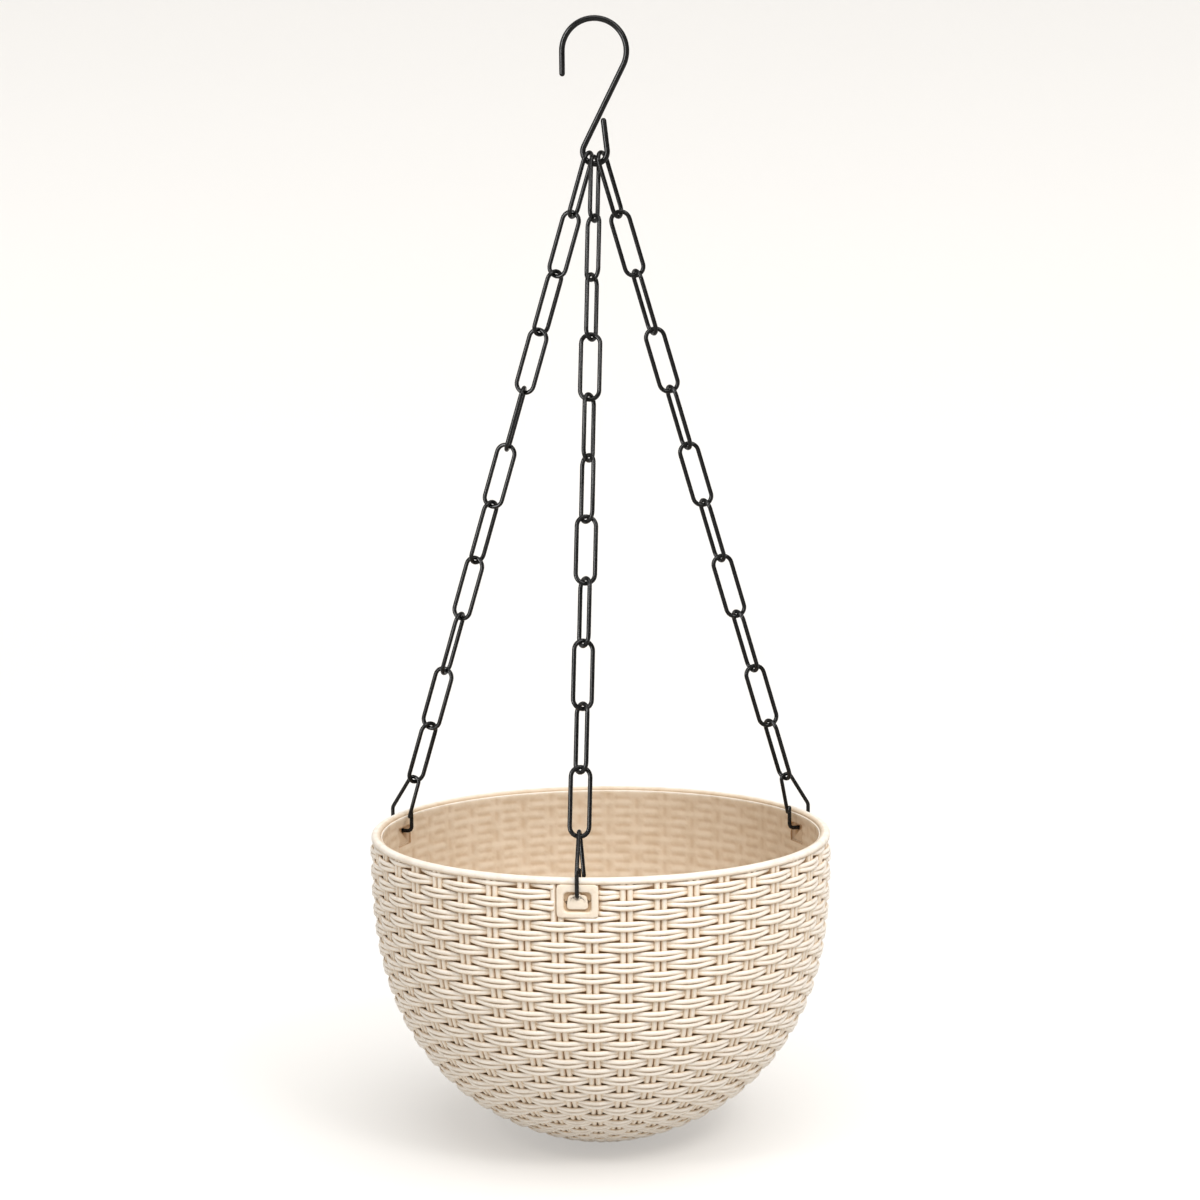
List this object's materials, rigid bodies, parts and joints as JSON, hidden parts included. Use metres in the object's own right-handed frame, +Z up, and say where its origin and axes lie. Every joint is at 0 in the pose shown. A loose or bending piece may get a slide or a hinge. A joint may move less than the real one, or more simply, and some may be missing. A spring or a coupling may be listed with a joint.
{
  "type": "hanging basket planter",
  "caption": "Round moulded wicker-look planter bowl hung from a wire hook by chains of long wire links and bent wire clips.",
  "frame": {"origin": "seat of the hook, under the top of its wire, where it rests on a bar", "axes": "+Z up along the object's height, -Y towards the front, +X to the right as seen from the front"},
  "size_m": [0.2562, 0.2574, 0.6183],
  "materials": {
    "bowl_plastic": "satin moulded plastic",
    "hook_wire": "satin black coating",
    "clip_wire": "satin black coating",
    "chain_wire": "satin black coating"
  },
  "bodies": {
    "hook": {"hook": "hook_wire"},
    "bowl": {"bowl": "bowl_plastic"},
    "clip_front": {"clip_front": "clip_wire"},
    "clip_left": {"clip_left": "clip_wire"},
    "clip_right": {"clip_right": "clip_wire"},
    "link_front_11": {"link_front_11": "chain_wire"},
    "link_front_10": {"link_front_10": "chain_wire"},
    "link_front_09": {"link_front_09": "chain_wire"},
    "link_front_08": {"link_front_08": "chain_wire"},
    "link_front_07": {"link_front_07": "chain_wire"},
    "link_front_06": {"link_front_06": "chain_wire"},
    "link_front_05": {"link_front_05": "chain_wire"},
    "link_front_04": {"link_front_04": "chain_wire"},
    "link_front_03": {"link_front_03": "chain_wire"},
    "link_front_02": {"link_front_02": "chain_wire"},
    "link_front_01": {"link_front_01": "chain_wire"},
    "link_left_11": {"link_left_11": "chain_wire"},
    "link_left_10": {"link_left_10": "chain_wire"},
    "link_left_09": {"link_left_09": "chain_wire"},
    "link_left_08": {"link_left_08": "chain_wire"},
    "link_left_07": {"link_left_07": "chain_wire"},
    "link_left_06": {"link_left_06": "chain_wire"},
    "link_left_05": {"link_left_05": "chain_wire"},
    "link_left_04": {"link_left_04": "chain_wire"},
    "link_left_03": {"link_left_03": "chain_wire"},
    "link_left_02": {"link_left_02": "chain_wire"},
    "link_left_01": {"link_left_01": "chain_wire"},
    "link_right_11": {"link_right_11": "chain_wire"},
    "link_right_10": {"link_right_10": "chain_wire"},
    "link_right_09": {"link_right_09": "chain_wire"},
    "link_right_08": {"link_right_08": "chain_wire"},
    "link_right_07": {"link_right_07": "chain_wire"},
    "link_right_06": {"link_right_06": "chain_wire"},
    "link_right_05": {"link_right_05": "chain_wire"},
    "link_right_04": {"link_right_04": "chain_wire"},
    "link_right_03": {"link_right_03": "chain_wire"},
    "link_right_02": {"link_right_02": "chain_wire"},
    "link_right_01": {"link_right_01": "chain_wire"}
  },
  "joints": [
    {"name": "basket_swing", "type": "hinge", "parent": "hook", "child": "bowl", "pos_m": [0, 0, -0.0694], "axis": [0, 1, 0], "range_deg": [-20, 20]},
    {"name": "clip_front_turn", "type": "hinge", "parent": "bowl", "child": "clip_front", "pos_m": [-0.01188, -0.12333, -0.45191], "axis": [0.0297, 0.3102, 0.9502], "range_deg": [-8, 8]},
    {"name": "link_front_11_turn", "type": "hinge", "parent": "clip_front", "child": "link_front_11", "pos_m": [-0.01043, -0.1083, -0.40587], "axis": [-0.0297, -0.3102, -0.9502], "range_deg": [-12, 12]},
    {"name": "link_front_10_turn", "type": "hinge", "parent": "link_front_11", "child": "link_front_10", "pos_m": [-0.00945, -0.09797, -0.37423], "axis": [0.0297, 0.3102, 0.9502], "range_deg": [-12, 12]},
    {"name": "link_front_09_turn", "type": "hinge", "parent": "link_front_10", "child": "link_front_09", "pos_m": [-0.00846, -0.08764, -0.34258], "axis": [-0.0297, -0.3102, -0.9502], "range_deg": [-12, 12]},
    {"name": "link_front_08_turn", "type": "hinge", "parent": "link_front_09", "child": "link_front_08", "pos_m": [-0.00747, -0.07731, -0.31094], "axis": [0.0297, 0.3102, 0.9502], "range_deg": [-12, 12]},
    {"name": "link_front_07_turn", "type": "hinge", "parent": "link_front_08", "child": "link_front_07", "pos_m": [-0.00648, -0.06698, -0.2793], "axis": [-0.0297, -0.3102, -0.9502], "range_deg": [-12, 12]},
    {"name": "link_front_06_turn", "type": "hinge", "parent": "link_front_07", "child": "link_front_06", "pos_m": [-0.00549, -0.05665, -0.24766], "axis": [0.0297, 0.3102, 0.9502], "range_deg": [-12, 12]},
    {"name": "link_front_05_turn", "type": "hinge", "parent": "link_front_06", "child": "link_front_05", "pos_m": [-0.0045, -0.04632, -0.21602], "axis": [-0.0297, -0.3102, -0.9502], "range_deg": [-12, 12]},
    {"name": "link_front_04_turn", "type": "hinge", "parent": "link_front_05", "child": "link_front_04", "pos_m": [-0.00351, -0.03599, -0.18438], "axis": [0.0297, 0.3102, 0.9502], "range_deg": [-12, 12]},
    {"name": "link_front_03_turn", "type": "hinge", "parent": "link_front_04", "child": "link_front_03", "pos_m": [-0.00252, -0.02566, -0.15274], "axis": [-0.0297, -0.3102, -0.9502], "range_deg": [-12, 12]},
    {"name": "link_front_02_turn", "type": "hinge", "parent": "link_front_03", "child": "link_front_02", "pos_m": [-0.00153, -0.01533, -0.12109], "axis": [0.0297, 0.3102, 0.9502], "range_deg": [-12, 12]},
    {"name": "link_front_01_turn", "type": "hinge", "parent": "link_front_02", "child": "link_front_01", "pos_m": [-0.00054, -0.005, -0.08945], "axis": [-0.0297, -0.3102, -0.9502], "range_deg": [-12, 12]},
    {"name": "clip_left_turn", "type": "hinge", "parent": "bowl", "child": "clip_left", "pos_m": [-0.11488, 0.04641, -0.45191], "axis": [0.2795, -0.1165, 0.9531], "range_deg": [-8, 8]},
    {"name": "link_left_11_turn", "type": "hinge", "parent": "clip_left", "child": "link_left_11", "pos_m": [-0.10134, 0.04077, -0.40573], "axis": [-0.2795, 0.1165, -0.9531], "range_deg": [-12, 12]},
    {"name": "link_left_10_turn", "type": "hinge", "parent": "link_left_11", "child": "link_left_10", "pos_m": [-0.09199, 0.03687, -0.37387], "axis": [0.2795, -0.1165, 0.9531], "range_deg": [-12, 12]},
    {"name": "link_left_09_turn", "type": "hinge", "parent": "link_left_10", "child": "link_left_09", "pos_m": [-0.08265, 0.03297, -0.34201], "axis": [-0.2795, 0.1165, -0.9531], "range_deg": [-12, 12]},
    {"name": "link_left_08_turn", "type": "hinge", "parent": "link_left_09", "child": "link_left_08", "pos_m": [-0.07331, 0.02908, -0.31014], "axis": [0.2795, -0.1165, 0.9531], "range_deg": [-12, 12]},
    {"name": "link_left_07_turn", "type": "hinge", "parent": "link_left_08", "child": "link_left_07", "pos_m": [-0.06396, 0.02518, -0.27828], "axis": [-0.2795, 0.1165, -0.9531], "range_deg": [-12, 12]},
    {"name": "link_left_06_turn", "type": "hinge", "parent": "link_left_07", "child": "link_left_06", "pos_m": [-0.05462, 0.02128, -0.24642], "axis": [0.2795, -0.1165, 0.9531], "range_deg": [-12, 12]},
    {"name": "link_left_05_turn", "type": "hinge", "parent": "link_left_06", "child": "link_left_05", "pos_m": [-0.04528, 0.01739, -0.21456], "axis": [-0.2795, 0.1165, -0.9531], "range_deg": [-12, 12]},
    {"name": "link_left_04_turn", "type": "hinge", "parent": "link_left_05", "child": "link_left_04", "pos_m": [-0.03593, 0.01349, -0.18269], "axis": [0.2795, -0.1165, 0.9531], "range_deg": [-12, 12]},
    {"name": "link_left_03_turn", "type": "hinge", "parent": "link_left_04", "child": "link_left_03", "pos_m": [-0.02659, 0.0096, -0.15083], "axis": [-0.2795, 0.1165, -0.9531], "range_deg": [-12, 12]},
    {"name": "link_left_02_turn", "type": "hinge", "parent": "link_left_03", "child": "link_left_02", "pos_m": [-0.01724, 0.0057, -0.11897], "axis": [0.2795, -0.1165, 0.9531], "range_deg": [-12, 12]},
    {"name": "link_left_01_turn", "type": "hinge", "parent": "link_left_02", "child": "link_left_01", "pos_m": [-0.0079, 0.0018, -0.08711], "axis": [-0.2795, 0.1165, -0.9531], "range_deg": [-12, 12]},
    {"name": "clip_right_turn", "type": "hinge", "parent": "bowl", "child": "clip_right", "pos_m": [0.11488, 0.04641, -0.45191], "axis": [-0.2795, -0.1151, 0.9532], "range_deg": [-8, 8]},
    {"name": "link_right_11_turn", "type": "hinge", "parent": "clip_right", "child": "link_right_11", "pos_m": [0.10133, 0.04084, -0.40572], "axis": [0.2795, 0.1151, -0.9532], "range_deg": [-12, 12]},
    {"name": "link_right_10_turn", "type": "hinge", "parent": "link_right_11", "child": "link_right_10", "pos_m": [0.09199, 0.03699, -0.37386], "axis": [-0.2795, -0.1151, 0.9532], "range_deg": [-12, 12]},
    {"name": "link_right_09_turn", "type": "hinge", "parent": "link_right_10", "child": "link_right_09", "pos_m": [0.08265, 0.03315, -0.342], "axis": [0.2795, 0.1151, -0.9532], "range_deg": [-12, 12]},
    {"name": "link_right_08_turn", "type": "hinge", "parent": "link_right_09", "child": "link_right_08", "pos_m": [0.0733, 0.0293, -0.31014], "axis": [-0.2795, -0.1151, 0.9532], "range_deg": [-12, 12]},
    {"name": "link_right_07_turn", "type": "hinge", "parent": "link_right_08", "child": "link_right_07", "pos_m": [0.06396, 0.02545, -0.27828], "axis": [0.2795, 0.1151, -0.9532], "range_deg": [-12, 12]},
    {"name": "link_right_06_turn", "type": "hinge", "parent": "link_right_07", "child": "link_right_06", "pos_m": [0.05462, 0.02161, -0.24642], "axis": [-0.2795, -0.1151, 0.9532], "range_deg": [-12, 12]},
    {"name": "link_right_05_turn", "type": "hinge", "parent": "link_right_06", "child": "link_right_05", "pos_m": [0.04528, 0.01776, -0.21455], "axis": [0.2795, 0.1151, -0.9532], "range_deg": [-12, 12]},
    {"name": "link_right_04_turn", "type": "hinge", "parent": "link_right_05", "child": "link_right_04", "pos_m": [0.03593, 0.01392, -0.18269], "axis": [-0.2795, -0.1151, 0.9532], "range_deg": [-12, 12]},
    {"name": "link_right_03_turn", "type": "hinge", "parent": "link_right_04", "child": "link_right_03", "pos_m": [0.02659, 0.01007, -0.15083], "axis": [0.2795, 0.1151, -0.9532], "range_deg": [-12, 12]},
    {"name": "link_right_02_turn", "type": "hinge", "parent": "link_right_03", "child": "link_right_02", "pos_m": [0.01724, 0.00622, -0.11897], "axis": [-0.2795, -0.1151, 0.9532], "range_deg": [-12, 12]},
    {"name": "link_right_01_turn", "type": "hinge", "parent": "link_right_02", "child": "link_right_01", "pos_m": [0.0079, 0.00238, -0.08711], "axis": [0.2795, 0.1151, -0.9532], "range_deg": [-12, 12]}
  ]
}
